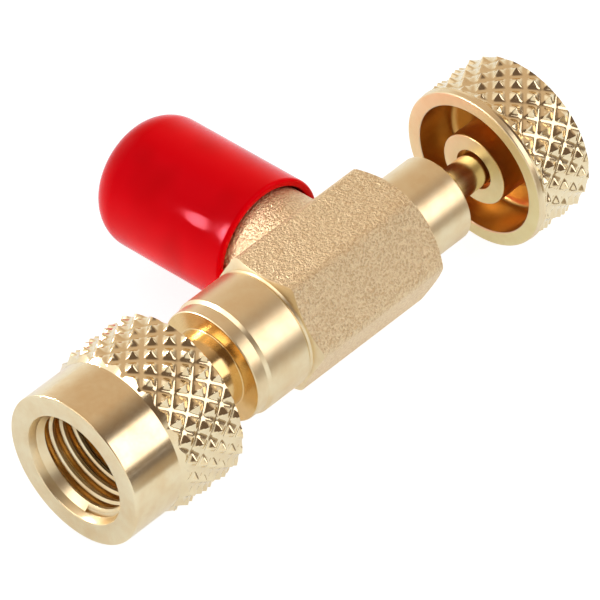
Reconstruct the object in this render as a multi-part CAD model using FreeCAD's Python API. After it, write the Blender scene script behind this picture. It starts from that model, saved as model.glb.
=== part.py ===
import FreeCAD
import Part
import math
import os

# Refrigerant charging valve: a brass tee that presses a service port's core with a hand screwed spindle.
# The main axis is X, from the nut's mouth to the knob. The side port points along +Y, and +Z is up.
# The origin is on the main axis, where the full thread of the nut starts. Lengths are in millimetres.

# 7/16-20 UNF thread of a 1/4 inch flare, in the nut and on the side port
thread_major_d = 11.11
thread_minor_d = 9.80

# Swivel nut
nut_front_d = 15.44
nut_front_length = 5.635
nut_length = 13.095
nut_entry_d = 11.25
nut_entry_depth = 0.8
nut_first_turn = 0.875
nut_thread_end_gap = 0.145
nut_edge_chamfer = 0.15
nut_bevel_length = 0.62
nut_bevel_d = 16.3
nut_rear_chamfer = 0.45
nut_rear_wall = 1.75
nut_bore_clearance = 0.1
nut_groove_clearance = 0.08
nut_travel = 4.2
nut_stop_gap = 0.25

# Diamond knurl, the same tool on the nut and on the knob
nut_knurl_d = 17.0
knob_knurl_d = 16.6
knurl_count = 24
knurl_row_step = 1.18
knurl_depth = 0.55
knurl_blank_allowance = 0.1
nut_knurl_lead = 0.925
nut_knurl_turn = -6.06
knob_knurl_turn = -5.3

# Spigot, neck and collar
neck_d = 7.82
spigot_head_d = 8.8
spigot_head_length = 1.6
spigot_head_chamfer = 0.2
ring_groove_d = 7.0
ring_groove_length = 1.9
collar_ring_d = 11.44
collar_ring_length = 1.33
collar_edge_chamfer = 0.1
collar_step_length = 0.35
collar_d = 11.92
collar_length = 5.5
collar_lip_d = 11.6
collar_lip_length = 0.45

# Split wire ring that is carried in the nut
ring_wire_d = 0.9
ring_inner_d = 8.0
ring_gap_angle = 40.0
ring_seat_clearance = 0.05

# Hexagon
hex_across_flats = 12.2
hex_length = 16.6
hex_edge_radius = 0.45
hex_front_chamfer_length = 0.85
hex_back_chamfer_length = 0.65
hex_back_face_d = 12.1

# Tail
tail_d = 8.72
tail_length = 6.0
tail_edge_chamfer = 0.12
tail_end_wall = 1.0

# Side branch with its flare port
branch_d = 11.2
branch_plain_end = 8.6
port_thread_end = 18.6
port_thread_undercut = 0.5
port_undercut_d = 9.7
port_nose_base_d = 9.5
port_nose_tip_d = 6.2
port_bore_d = 4.4
port_thread_chamfer = 0.7

# Spindle
spindle_d = 3.4
spindle_thread_d = 5.0
spindle_thread_length = 4.5
spindle_rod_d = 3.0
spindle_tip_d = 2.2
spindle_tip_length = 2.6
spindle_tip_recess = 1.0
spindle_tip_chamfer = 0.2
spindle_thread_chamfer = 0.4
spindle_travel = 4.0
spindle_square = 2.5
spindle_square_length = 4.85
thread_clearance = 0.05
guide_clearance = 0.08

# O-ring of the spindle
seal_bore_d = 4.28
o_ring_section_d = 0.76
o_ring_clearance = 0.05
o_ring_groove_width = 1.1
o_ring_wall_gap = 0.45
o_ring_thread_gap = 0.1

# Seat gasket
gasket_outer_d = 7.0
gasket_inner_d = 3.8
gasket_length = 1.8
gasket_proud = 0.5
gasket_clearance = 0.04

# Knob
knob_gap = 5.05
knob_length = 7.0
knob_rim_d = 16.26
knob_rim_length = 0.55
knob_run_out = 0.82
knob_cup_d = 13.4
knob_cup_depth = 4.5
knob_cup_radius = 0.8
knob_hub_d = 7.38
knob_hole_d = 4.1
knob_hole_depth = 0.75
knob_edge_chamfer = 0.15
knob_back_chamfer = 0.5
knob_square_clearance = 0.03

# Screw in the end of the spindle
screw_head_d = 3.8
screw_head_length = 1.1
screw_recess_d = 4.2
screw_recess_depth = 1.3
screw_shank_d = 1.9
screw_shank_length = 3.2
screw_slot_width = 0.6
screw_slot_depth = 0.5
screw_clearance = 0.05
screw_hole_spare = 0.3
screw_edge_chamfer = 0.15

# Dust cap
cap_outer_d = 13.1
cap_inner_d = 11.6
cap_mouth = 7.4
cap_length = 17.05
cap_end_wall = 0.95
cap_end_radius = 3.3
cap_edge_chamfer = 0.15

# Stations along the main axis
nut_entry_chamfer = (nut_entry_d - thread_minor_d) / 2
x_mouth = -(nut_entry_depth + nut_entry_chamfer + nut_first_turn)
x_nut_rear = x_mouth + nut_length
x_ring = x_nut_rear - nut_rear_wall - ring_wire_d / 2
x_head_back = x_ring - ring_wire_d / 2 - ring_seat_clearance
x_seat = x_head_back - spigot_head_length
x_collar = x_nut_rear + nut_travel + nut_stop_gap
x_collar_step = x_collar + collar_ring_length
x_hex = x_collar_step + collar_length
x_hex_end = x_hex + hex_length
x_branch = x_hex + hex_length / 2
x_tail_end = x_hex_end + tail_length
x_knob = x_tail_end + knob_gap
x_knob_end = x_knob + knob_length
x_knob_seat = x_knob + knob_hole_depth
x_screw_seat = x_knob_end - screw_recess_depth

# Stations inside the body
x_gasket = x_seat - gasket_proud
x_thread_end = x_gasket - nut_thread_end_gap
x_gasket_end = x_gasket + gasket_length
x_o_ring = x_tail_end - tail_end_wall - o_ring_wall_gap - o_ring_section_d / 2
x_spindle_stop = x_o_ring - o_ring_section_d / 2 - spindle_travel - o_ring_thread_gap
x_spindle_thread = x_spindle_stop - spindle_thread_length
body_bore_d = spindle_thread_d + 2 * thread_clearance
guide_bore_d = spindle_d + 2 * guide_clearance
o_ring_outer_d = seal_bore_d - 2 * o_ring_clearance
o_ring_groove_d = o_ring_outer_d - 2 * o_ring_section_d - 2 * o_ring_clearance
nut_rear_bore_d = spigot_head_d + 2 * nut_bore_clearance
ring_outer_d = ring_inner_d + 2 * ring_wire_d

MAIN_AXIS = FreeCAD.Vector(1, 0, 0)
PORT_AXIS = FreeCAD.Vector(0, 1, 0)
ORIGIN = FreeCAD.Vector(0, 0, 0)
BRANCH_FOOT = FreeCAD.Vector(x_branch, 0, 0)


def turned(profile):
    """A solid turned about the main axis from (station, diameter) points."""
    points = [FreeCAD.Vector(station, 0, diameter / 2) for station, diameter in profile]
    face = Part.Face(Part.makePolygon(points + points[:1]))
    return face.revolve(ORIGIN, MAIN_AXIS, 360)


def turned_on_port(profile):
    """A solid turned about the side port's axis from (distance from the main axis, diameter) points."""
    points = [FreeCAD.Vector(x_branch + diameter / 2, distance, 0) for distance, diameter in profile]
    face = Part.Face(Part.makePolygon(points + points[:1]))
    return face.revolve(BRANCH_FOOT, PORT_AXIS, 360)


def drilled(start, end, diameter):
    """The cylinder that a drill takes out along the main axis."""
    return Part.makeCylinder(diameter / 2, end - start, FreeCAD.Vector(start, 0, 0), MAIN_AXIS)


def square_bar(start, end, across):
    """A square bar along the main axis."""
    corner = FreeCAD.Vector(start, -across / 2, -across / 2)
    return Part.makeBox(end - start, across, across, corner)


def knurl_skin(row_stations, row_cuts, crest_d, first_turn):
    """A solid whose side is a skin of four sided pyramids, for a round blank to be trimmed to.

    Every ring of points alternates between a crest and the bottom of a groove, and the next ring is
    turned by one point, so that each crest is the tip of a pyramid and the grooves cross between them.
    row_cuts gives each ring's groove depth, so that a ring with none lets the grooves run out.
    first_turn is the angle of the first ring's first crest, in degrees.
    """
    steps = 2 * knurl_count
    rings = []
    for row, (station, cut) in enumerate(zip(row_stations, row_cuts)):
        ring = []
        for step in range(steps):
            on_crest = (row + step) % 2 == 0
            radius = crest_d / 2 if on_crest else crest_d / 2 - cut
            turn = math.radians(first_turn) + math.pi * step / knurl_count
            ring.append(FreeCAD.Vector(station, radius * math.cos(turn), radius * math.sin(turn)))
        rings.append(ring)
    faces = []
    for row in range(len(rings) - 1):
        here, beyond = rings[row], rings[row + 1]
        for step in range(steps):
            after = (step + 1) % steps
            if (row + step) % 2 == 0:
                triangles = [(here[step], here[after], beyond[step])]
                triangles.append((beyond[after], beyond[step], here[after]))
            else:
                triangles = [(here[after], beyond[after], here[step])]
                triangles.append((beyond[step], here[step], beyond[after]))
            for corners in triangles:
                faces.append(Part.Face(Part.makePolygon(list(corners) + [corners[0]])))
    for ring in (rings[0], rings[-1]):
        faces.append(Part.Face(Part.makePolygon(ring + ring[:1])))
    return Part.Solid(Part.makeShell(faces))


def knurled(blank, start, first_step, first_cut, end, crest_d, first_turn):
    """The blank with a diamond knurl from the start to past the end, and left plain before the start."""
    stations = [start, start + first_step]
    while stations[-1] < end:
        stations.append(stations[-1] + knurl_row_step)
    cuts = [first_cut] + [knurl_depth] * (len(stations) - 1)
    plain = blank.common(drilled(blank.BoundBox.XMin - 1, start, 2 * crest_d))
    rough = blank.common(knurl_skin(stations, cuts, crest_d, first_turn))
    return plain.fuse(rough).removeSplitter()


def make_swivel_nut():
    """Plain front, bevelled shoulder, knurled rear, with the thread's bore and the ring's groove."""
    front_end = x_mouth + nut_front_length
    bevel_end = front_end + nut_bevel_length
    blank_d = nut_knurl_d + 2 * knurl_blank_allowance
    blank = turned([
        (x_mouth, 0),
        (x_mouth, nut_front_d - 2 * nut_edge_chamfer),
        (x_mouth + nut_edge_chamfer, nut_front_d),
        (front_end, nut_front_d),
        (bevel_end, nut_bevel_d),
        (bevel_end, blank_d),
        (x_nut_rear - nut_rear_chamfer, blank_d),
        (x_nut_rear, nut_knurl_d - 2 * nut_rear_chamfer),
        (x_nut_rear, 0),
    ])
    knurl_start = front_end - nut_knurl_lead
    nut = knurled(blank, knurl_start, knurl_row_step, knurl_depth, x_nut_rear, nut_knurl_d, nut_knurl_turn)
    groove_d = ring_outer_d + 2 * nut_groove_clearance
    half_groove = ring_wire_d / 2 + nut_groove_clearance / 2
    bore = turned([
        (x_mouth - 1, 0),
        (x_mouth - 1, nut_entry_d),
        (x_mouth + nut_entry_depth, nut_entry_d),
        (x_mouth + nut_entry_depth + nut_entry_chamfer, thread_minor_d),
        (x_thread_end, thread_minor_d),
        (x_thread_end + (thread_minor_d - nut_rear_bore_d) / 2, nut_rear_bore_d),
        (x_ring - half_groove, nut_rear_bore_d),
        (x_ring - half_groove, groove_d),
        (x_ring + half_groove, groove_d),
        (x_ring + half_groove, nut_rear_bore_d),
        (x_nut_rear + 1, nut_rear_bore_d),
        (x_nut_rear + 1, 0),
    ])
    return nut.cut(bore)


def make_nut_snap_ring():
    """Round wire bent to an open ring, with its gap at the bottom."""
    bend_radius = (ring_inner_d + ring_wire_d) / 2
    centre = FreeCAD.Vector(x_ring, 0, -bend_radius)
    section = Part.Face(Part.Wire(Part.makeCircle(ring_wire_d / 2, centre, PORT_AXIS)))
    ring = section.revolve(ORIGIN, MAIN_AXIS, 360 - ring_gap_angle)
    ring.rotate(ORIGIN, MAIN_AXIS, ring_gap_angle / 2)
    return ring


def make_hexagon():
    """Hexagonal bar with two flats level, soft long edges and turned ends."""
    corner_radius = hex_across_flats / 2 / math.cos(math.pi / 6)
    corners = []
    for corner in range(7):
        turn = math.pi / 3 * corner
        across, up = corner_radius * math.cos(turn), corner_radius * math.sin(turn)
        corners.append(FreeCAD.Vector(x_hex, across, up))
    bar = Part.Face(Part.makePolygon(corners)).extrude(FreeCAD.Vector(hex_length, 0, 0))
    long_edges = [edge for edge in bar.Edges if abs(edge.Length - hex_length) < 0.001]
    bar = bar.makeFillet(hex_edge_radius, long_edges)
    corner_d = 2 * corner_radius
    ends = turned([
        (x_hex, 0),
        (x_hex, collar_d),
        (x_hex + hex_front_chamfer_length, corner_d),
        (x_hex_end - hex_back_chamfer_length, corner_d),
        (x_hex_end, hex_back_face_d),
        (x_hex_end, 0),
    ])
    return bar.common(ends)


def make_valve_body():
    """Spigot, neck, collar, hexagon, tail and side branch in one piece, with its drilled ways."""
    turned_part = turned([
        (x_seat, 0),
        (x_seat, spigot_head_d - 2 * spigot_head_chamfer),
        (x_seat + spigot_head_chamfer, spigot_head_d),
        (x_head_back, spigot_head_d),
        (x_head_back, ring_groove_d),
        (x_head_back + ring_groove_length, ring_groove_d),
        (x_head_back + ring_groove_length + (neck_d - ring_groove_d) / 2, neck_d),
        (x_collar, neck_d),
        (x_collar, collar_ring_d - 2 * collar_edge_chamfer),
        (x_collar + collar_edge_chamfer, collar_ring_d),
        (x_collar_step, collar_ring_d),
        (x_collar_step + collar_step_length, collar_d),
        (x_hex - collar_lip_length, collar_d),
        (x_hex - collar_lip_length / 2, collar_lip_d),
        (x_hex, collar_d),
        (x_branch, collar_d),
        (x_branch, tail_d),
        (x_tail_end - tail_edge_chamfer, tail_d),
        (x_tail_end, tail_d - 2 * tail_edge_chamfer),
        (x_tail_end, 0),
    ])
    nose_end = port_thread_end + (port_nose_base_d - port_nose_tip_d) / 2
    thread_start = branch_plain_end + port_thread_undercut
    branch = turned_on_port([
        (0, 0),
        (0, branch_d),
        (branch_plain_end, branch_d),
        (branch_plain_end, port_undercut_d),
        (thread_start, port_undercut_d),
        (thread_start + (thread_major_d - port_undercut_d) / 2, thread_major_d),
        (port_thread_end - port_thread_chamfer, thread_major_d),
        (port_thread_end, thread_major_d - 2 * port_thread_chamfer),
        (port_thread_end, port_nose_base_d),
        (nose_end, port_nose_tip_d),
        (nose_end, 0),
    ])
    ways = turned([
        (x_seat - 1, 0),
        (x_seat - 1, gasket_outer_d + 2 * gasket_clearance),
        (x_gasket_end, gasket_outer_d + 2 * gasket_clearance),
        (x_gasket_end, body_bore_d),
        (x_spindle_stop + thread_clearance, body_bore_d),
        (x_spindle_stop + thread_clearance, seal_bore_d),
        (x_tail_end - tail_end_wall, seal_bore_d),
        (x_tail_end - tail_end_wall, guide_bore_d),
        (x_tail_end + 1, guide_bore_d),
        (x_tail_end + 1, 0),
    ])
    port_way = Part.makeCylinder(port_bore_d / 2, nose_end + 1, BRANCH_FOOT, PORT_AXIS)
    solid = turned_part.fuse([make_hexagon(), branch]).removeSplitter()
    return solid.cut([ways, port_way])


def make_seat_gasket():
    """Flat rubber ring in the end of the spigot, standing a little proud."""
    blank = drilled(x_gasket, x_gasket_end, gasket_outer_d)
    return blank.cut(drilled(x_gasket - 1, x_gasket_end + 1, gasket_inner_d))


def make_spindle():
    """Core pin, gas way rod, screw thread, groove for the O-ring, bright shank and square end."""
    half_groove = o_ring_groove_width / 2
    tip_start = x_seat + spindle_tip_recess
    x_square_end = x_knob_seat + spindle_square_length
    solid = turned([
        (tip_start, 0),
        (tip_start, spindle_tip_d - 2 * spindle_tip_chamfer),
        (tip_start + spindle_tip_chamfer, spindle_tip_d),
        (tip_start + spindle_tip_length, spindle_tip_d),
        (tip_start + spindle_tip_length, spindle_rod_d),
        (x_spindle_thread, spindle_rod_d),
        (x_spindle_thread + spindle_thread_chamfer, spindle_thread_d),
        (x_spindle_stop, spindle_thread_d),
        (x_spindle_stop, spindle_d),
        (x_o_ring - half_groove, spindle_d),
        (x_o_ring - half_groove, o_ring_groove_d),
        (x_o_ring + half_groove, o_ring_groove_d),
        (x_o_ring + half_groove, spindle_d),
        (x_knob_seat, spindle_d),
        (x_knob_seat, 0),
    ])
    square = square_bar(x_knob_seat, x_square_end, spindle_square)
    rounded = drilled(x_knob_seat, x_square_end, spindle_d)
    hole_start = x_screw_seat - screw_shank_length - screw_hole_spare
    screw_hole = drilled(hole_start, x_square_end + 1, screw_shank_d + 2 * screw_clearance)
    return solid.fuse(square.common(rounded)).cut(screw_hole)


def make_spindle_o_ring():
    """Round rubber ring in the spindle's groove."""
    bend_radius = (o_ring_outer_d - o_ring_section_d) / 2
    centre = FreeCAD.Vector(x_o_ring, 0, 0)
    return Part.makeTorus(bend_radius, o_ring_section_d / 2, centre, MAIN_AXIS)


def make_knob():
    """Knurled cup with a plain rim, open towards the body, with the hub level with its rim."""
    rim_end = x_knob + knob_rim_length
    blank_d = knob_knurl_d + 2 * knurl_blank_allowance
    blank = turned([
        (x_knob, 0),
        (x_knob, knob_rim_d - 2 * knob_edge_chamfer),
        (x_knob + knob_edge_chamfer, knob_rim_d),
        (rim_end, knob_rim_d),
        (rim_end + knob_run_out, blank_d),
        (x_knob_end - knob_back_chamfer, blank_d),
        (x_knob_end, knob_knurl_d - 2 * knob_back_chamfer),
        (x_knob_end, 0),
    ])
    knob = knurled(blank, rim_end, knob_run_out, 0.0, x_knob_end, knob_knurl_d, knob_knurl_turn)
    cup_end = x_knob + knob_cup_depth
    cup = turned([
        (x_knob - 1, knob_hub_d),
        (x_knob - 1, knob_cup_d + 2 * knob_edge_chamfer),
        (x_knob, knob_cup_d + 2 * knob_edge_chamfer),
        (x_knob + knob_edge_chamfer, knob_cup_d),
        (cup_end - knob_cup_radius, knob_cup_d),
        (cup_end, knob_cup_d - 2 * knob_cup_radius),
        (cup_end, knob_hub_d + 2 * knob_cup_radius),
        (cup_end - knob_cup_radius, knob_hub_d),
    ])
    hole = drilled(x_knob - 1, x_knob_seat, knob_hole_d)
    across = spindle_square + 2 * knob_square_clearance
    socket_round = drilled(x_knob_seat, x_screw_seat, spindle_d + 2 * knob_square_clearance)
    socket = square_bar(x_knob_seat, x_screw_seat, across).common(socket_round)
    recess = drilled(x_screw_seat, x_knob_end + 1, screw_recess_d)
    return knob.cut([cup, hole, socket, recess])


def make_knob_screw():
    """Slotted screw in the end of the spindle."""
    head_end = x_screw_seat + screw_head_length
    solid = turned([
        (x_screw_seat - screw_shank_length, 0),
        (x_screw_seat - screw_shank_length, screw_shank_d),
        (x_screw_seat, screw_shank_d),
        (x_screw_seat, screw_head_d),
        (head_end - screw_edge_chamfer, screw_head_d),
        (head_end, screw_head_d - 2 * screw_edge_chamfer),
        (head_end, 0),
    ])
    corner = FreeCAD.Vector(head_end - screw_slot_depth, -screw_slot_width / 2, -screw_head_d)
    return solid.cut(Part.makeBox(screw_head_d, screw_slot_width, 2 * screw_head_d, corner))


def cap_form(start, end, radius, rounding, edge_chamfer):
    """A round ended plug about the port's axis, with a chamfer at its open end."""
    mouth = FreeCAD.Vector(x_branch + radius - edge_chamfer, start, 0)
    side_start = FreeCAD.Vector(x_branch + radius, start + edge_chamfer, 0)
    side_end = FreeCAD.Vector(x_branch + radius, end - rounding, 0)
    dome_end = FreeCAD.Vector(x_branch + radius - rounding, end, 0)
    lean = rounding * (1 - math.sqrt(0.5))
    dome_middle = FreeCAD.Vector(x_branch + radius - lean, end - lean, 0)
    tip = FreeCAD.Vector(x_branch, end, 0)
    foot = FreeCAD.Vector(x_branch, start, 0)
    edges = [Part.Arc(side_end, dome_middle, dome_end).toShape()]
    for near, far in ((side_start, side_end), (dome_end, tip), (tip, foot), (foot, mouth)):
        edges.append(Part.makeLine(near, far))
    if edge_chamfer > 0:
        edges.append(Part.makeLine(mouth, side_start))
    outline = Part.Wire(Part.__sortEdges__(edges))
    return Part.Face(outline).revolve(BRANCH_FOOT, PORT_AXIS, 360)


def make_dust_cap():
    """Soft cap with a round end."""
    cap_end = cap_mouth + cap_length
    wall = (cap_outer_d - cap_inner_d) / 2
    outside = cap_form(cap_mouth, cap_end, cap_outer_d / 2, cap_end_radius, cap_edge_chamfer)
    inside = cap_form(cap_mouth - 1, cap_end - cap_end_wall, cap_inner_d / 2, cap_end_radius - wall, 0)
    return outside.cut(inside)


PIECES = {
    "valve_body": make_valve_body,
    "swivel_nut": make_swivel_nut,
    "nut_snap_ring": make_nut_snap_ring,
    "seat_gasket": make_seat_gasket,
    "spindle": make_spindle,
    "spindle_o_ring": make_spindle_o_ring,
    "knob": make_knob,
    "knob_screw": make_knob_screw,
    "dust_cap": make_dust_cap,
}

os.makedirs("parts", exist_ok=True)
for node, make in PIECES.items():
    shape = make()
    shape.exportStep("parts/" + node + ".step")
    box = shape.BoundBox
    print(node, "solids", len(shape.Solids), "valid", shape.isValid(), "faces", len(shape.Faces),
          "volume", round(shape.Volume, 2),
          "x", round(box.XMin, 3), round(box.XMax, 3),
          "y", round(box.YMin, 3), round(box.YMax, 3),
          "z", round(box.ZMin, 3), round(box.ZMax, 3))
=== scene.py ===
# %% [markdown]
# # A refrigerant charging valve
# The valve screws onto the service port of a cooling system with its knurled swivel nut. Turning the
# knurled knob drives a thin spindle forward, which presses the valve core in the port. A hose goes on the
# side branch, whose flare port is under the red dust cap.
#
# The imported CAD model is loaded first. It fixes every size and place, and says what moves with what.
# Each visible piece is then made again with finer edges, real knurls and threads, and its own finish.

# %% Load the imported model
import math

import bmesh
import bpy
from mathutils import Matrix, Vector


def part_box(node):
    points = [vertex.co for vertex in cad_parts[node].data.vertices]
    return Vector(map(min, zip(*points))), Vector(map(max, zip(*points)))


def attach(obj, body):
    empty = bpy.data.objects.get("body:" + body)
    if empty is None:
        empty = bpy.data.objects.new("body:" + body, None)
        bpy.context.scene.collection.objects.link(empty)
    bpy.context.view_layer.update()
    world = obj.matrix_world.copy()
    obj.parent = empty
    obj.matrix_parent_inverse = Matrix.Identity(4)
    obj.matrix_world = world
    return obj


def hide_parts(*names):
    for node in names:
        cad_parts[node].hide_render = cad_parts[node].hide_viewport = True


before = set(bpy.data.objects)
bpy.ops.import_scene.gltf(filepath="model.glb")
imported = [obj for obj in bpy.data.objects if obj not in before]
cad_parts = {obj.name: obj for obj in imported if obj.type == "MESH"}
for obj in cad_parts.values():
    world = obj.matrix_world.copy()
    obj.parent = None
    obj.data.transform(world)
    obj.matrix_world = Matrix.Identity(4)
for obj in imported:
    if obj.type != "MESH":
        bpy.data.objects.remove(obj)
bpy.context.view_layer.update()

print("nodes:", sorted(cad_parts))

# %% [markdown]
# ## Millimetres
# Blender works in metres here, but the pieces are a few millimetres across. They are drawn in
# millimetres, which are easier to read, and each mesh is scaled to metres when it is finished.

# %% Measure the nodes in millimetres
MM = 1000.0


def node_box(node):
    """Lowest and highest corner of a CAD node, in millimetres."""
    low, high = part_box(node)
    return low * MM, high * MM


nut_low, nut_high = node_box("swivel_nut")
body_low, body_high = node_box("valve_body")
knob_low, knob_high = node_box("knob")
screw_low, screw_high = node_box("knob_screw")
cap_low, cap_high = node_box("dust_cap")
spindle_low, spindle_high = node_box("spindle")
branch_x = (cap_low.x + cap_high.x) / 2
print("nut from x", round(nut_low.x, 3), "to", round(nut_high.x, 3))
print("knob from x", round(knob_low.x, 3), "to", round(knob_high.x, 3))
print("branch axis at x", round(branch_x, 3))

# %% [markdown]
# ## Camera
# The photograph was taken with a long lens from the left, the front and above. A long lens keeps the far
# knob nearly as large as the near nut. The camera's place and turn were found by laying the CAD outline
# over the photograph. Light runs to and fro inside the knob's cup and the nut's thread, so reflections
# are followed for more bounces than usual.

# %% Place the camera
CAMERA_PLACE = Vector((-0.3475, -0.3994, 0.4788))
CAMERA_RIGHT = Vector((0.6849, -0.7253, -0.0699))
CAMERA_UP = Vector((0.5159, 0.4151, 0.7494))
CAMERA_LENS = 487.7
CAMERA_SENSOR = 36.0
REFLECTIONS = 12

scene = bpy.context.scene
camera_data = bpy.data.cameras.new("Camera")
camera_data.lens = CAMERA_LENS
camera_data.sensor_width = CAMERA_SENSOR
camera = bpy.data.objects.new("Camera", camera_data)
scene.collection.objects.link(camera)
back = CAMERA_RIGHT.cross(CAMERA_UP).normalized()
up = back.cross(CAMERA_RIGHT).normalized()
turn = Matrix((CAMERA_RIGHT.normalized(), up, back)).transposed()
camera.matrix_world = Matrix.Translation(CAMERA_PLACE) @ turn.to_4x4()
scene.camera = camera
scene.view_settings.view_transform = "Standard"
scene.cycles.glossy_bounces = REFLECTIONS
print("camera distance in mm:", round(CAMERA_PLACE.length * MM))

# %% [markdown]
# ## Small helpers for node trees
# Materials, the world and geometry trees are all made of nodes. These helpers put a value or a link into a
# socket and make a common node in one line, so that the trees below read like a recipe.

# %% Helpers for node trees


def put(tree, socket, value):
    """Links a socket to the socket, or sets a plain value."""
    if isinstance(value, bpy.types.NodeSocket):
        tree.links.new(value, socket)
    else:
        socket.default_value = value


def sums(tree, operation, *values):
    """A math node of that operation, and its result."""
    node = tree.nodes.new("ShaderNodeMath")
    node.operation = operation
    for socket, value in zip(node.inputs, values):
        put(tree, socket, value)
    return node.outputs[0]


def span(tree, value, low, high, to_low=0.0, to_high=1.0):
    """Maps a value from one range to another, and holds it inside."""
    node = tree.nodes.new("ShaderNodeMapRange")
    for socket, number in zip(node.inputs, (value, low, high, to_low, to_high)):
        put(tree, socket, number)
    return node.outputs[0]


def blend_colours(tree, share, first, second):
    """The first colour at share 0, the second at share 1."""
    node = tree.nodes.new("ShaderNodeMix")
    node.data_type = "RGBA"
    put(tree, node.inputs["Factor"], share)
    put(tree, node.inputs[6], first)
    put(tree, node.inputs[7], second)
    return node.outputs[2]


def split(tree, vector):
    """The parts of a vector, by the names X, Y and Z."""
    node = tree.nodes.new("ShaderNodeSeparateXYZ")
    put(tree, node.inputs[0], vector)
    return node.outputs


def join(tree, x, y=0.0, z=0.0):
    """A vector of three parts."""
    node = tree.nodes.new("ShaderNodeCombineXYZ")
    for socket, value in zip(node.inputs, (x, y, z)):
        put(tree, socket, value)
    return node.outputs[0]


def facing(tree, looked, direction):
    """1 where the way looked is the direction, 0 across it."""
    node = tree.nodes.new("ShaderNodeVectorMath")
    node.operation = "DOT_PRODUCT"
    put(tree, node.inputs[0], looked)
    node.inputs[1].default_value = direction
    return node.outputs["Value"]


def mirrored_rays(tree, path):
    """1 on rays that a mirror or glass sends on, 0 on others."""
    return sums(tree, "MAXIMUM", path.outputs["Is Glossy Ray"], path.outputs["Is Transmission Ray"])


# %% [markdown]
# ## Studio
# Metal has almost no colour of its own: it shows what is around it, so the room makes the look of the
# brass. A photograph of a room could stand in for it, but a few blended tones are easier to steer. The
# camera sees plain white. Reflections see pale walls, a warm ceiling, a bright far wall, and a dark side
# at the left and behind the camera. Matt surfaces see white, with less of it from the camera's side.

# %% Paint the room
WHITE = (1.0, 1.0, 1.0, 1.0)
WALL_TONE = (1.0, 0.97, 0.92, 1.0)
CEILING_TONE = (0.70, 0.54, 0.40, 1.0)
CAMERA_SIDE_TONE = (0.16, 0.11, 0.08, 1.0)
FAR_WALL_TONE = (1.15, 1.10, 1.04, 1.0)
SHADED = (0.28, 0.28, 0.28, 1.0)
FAR_WALL_WAY = (-0.35, 0.80, 0.49)
MATT_FILL = 1.05

# Each pair is where a tone starts and where it is full, in one part of the way looked.
CEILING_RISE = (0.05, 0.5)
CAMERA_SIDE_DEPTH = (0.0, -0.42)
FAR_WALL_EDGE = (0.80, 0.92)
LEFT_ACROSS = (0.1, -0.1)
LEFT_DEPTH = (0.10, -0.12)
LOW_RISE = (0.42, 0.30)
LOW_ACROSS = (0.25, 0.05)
SHADE_EDGE = (0.3, 0.9)

world = bpy.data.worlds.new("Studio")
world.use_nodes = True
scene.world = world
tree = world.node_tree
path = tree.nodes.new("ShaderNodeLightPath")
looked = tree.nodes.new("ShaderNodeTexCoord").outputs["Generated"]
parts = split(tree, looked)
room = blend_colours(tree, span(tree, parts["Z"], *CEILING_RISE), WALL_TONE, CEILING_TONE)
room = blend_colours(tree, span(tree, parts["Y"], *CAMERA_SIDE_DEPTH), room, CAMERA_SIDE_TONE)
at_far_wall = span(tree, facing(tree, looked, FAR_WALL_WAY), *FAR_WALL_EDGE)
room = blend_colours(tree, at_far_wall, room, FAR_WALL_TONE)
at_left = sums(tree, "MULTIPLY", span(tree, parts["X"], *LEFT_ACROSS), span(tree, parts["Y"], *LEFT_DEPTH))
room = blend_colours(tree, at_left, room, CAMERA_SIDE_TONE)
low_down = sums(tree, "MULTIPLY", span(tree, parts["Z"], *LOW_RISE), span(tree, parts["X"], *LOW_ACROSS))
room = blend_colours(tree, low_down, room, WALL_TONE)
at_camera = span(tree, facing(tree, looked, back), *SHADE_EDGE)
matt_room = blend_colours(tree, at_camera, WHITE, SHADED)
mirrored = mirrored_rays(tree, path)
colour = blend_colours(tree, mirrored, matt_room, room)
background = tree.nodes["Background"]
put(tree, background.inputs["Color"], blend_colours(tree, path.outputs["Is Camera Ray"], colour, WHITE))
seen = sums(tree, "MAXIMUM", path.outputs["Is Camera Ray"], mirrored)
put(tree, background.inputs["Strength"], span(tree, seen, 0.0, 1.0, MATT_FILL, 1.0))
print("nodes in the world:", len(tree.nodes))

# %% [markdown]
# ## Lamps
# A large soft lamp at the right makes the bright band along every turned piece, and a long one behind
# brightens the edges that look up. Two small panes close to the cap stand for a window that its glossy
# vinyl shows as two soft patches. A round or square bulb would show as a hard spot, so all four are area
# lamps, and three of them leave matt surfaces unlit.

# %% Hang the lamps
MIDDLE = (0.027, 0.0, 0.0)
WINDOW_DISTANCE = 0.7
PANE_DISTANCE = 0.04
PANE_COLOUR = (1.0, 0.95, 0.98)
ALONG_BRANCH = (0.0, 1.0, 0.0)


def soft_lamp(name, aim, direction, distance, along, width, height, power, colour, shape="RECTANGLE",
              lights_matt=False):
    """An area lamp that looks at a point from a direction, with its width laid along another."""
    data = bpy.data.lights.new(name, "AREA")
    data.shape = shape
    data.size = width
    data.size_y = height
    data.energy = power
    data.color = colour
    lamp = bpy.data.objects.new(name, data)
    scene.collection.objects.link(lamp)
    out = Vector(direction).normalized()
    upwards = out.cross(Vector(along)).normalized()
    across = upwards.cross(out)
    turn = Matrix((across, upwards, out)).transposed()
    lamp.matrix_world = Matrix.Translation(Vector(aim) + out * distance) @ turn.to_4x4()
    lamp.visible_diffuse = lights_matt
    lamp.visible_camera = False
    print(name, "at", [round(number * MM) for number in lamp.matrix_world.translation], "mm")


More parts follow.
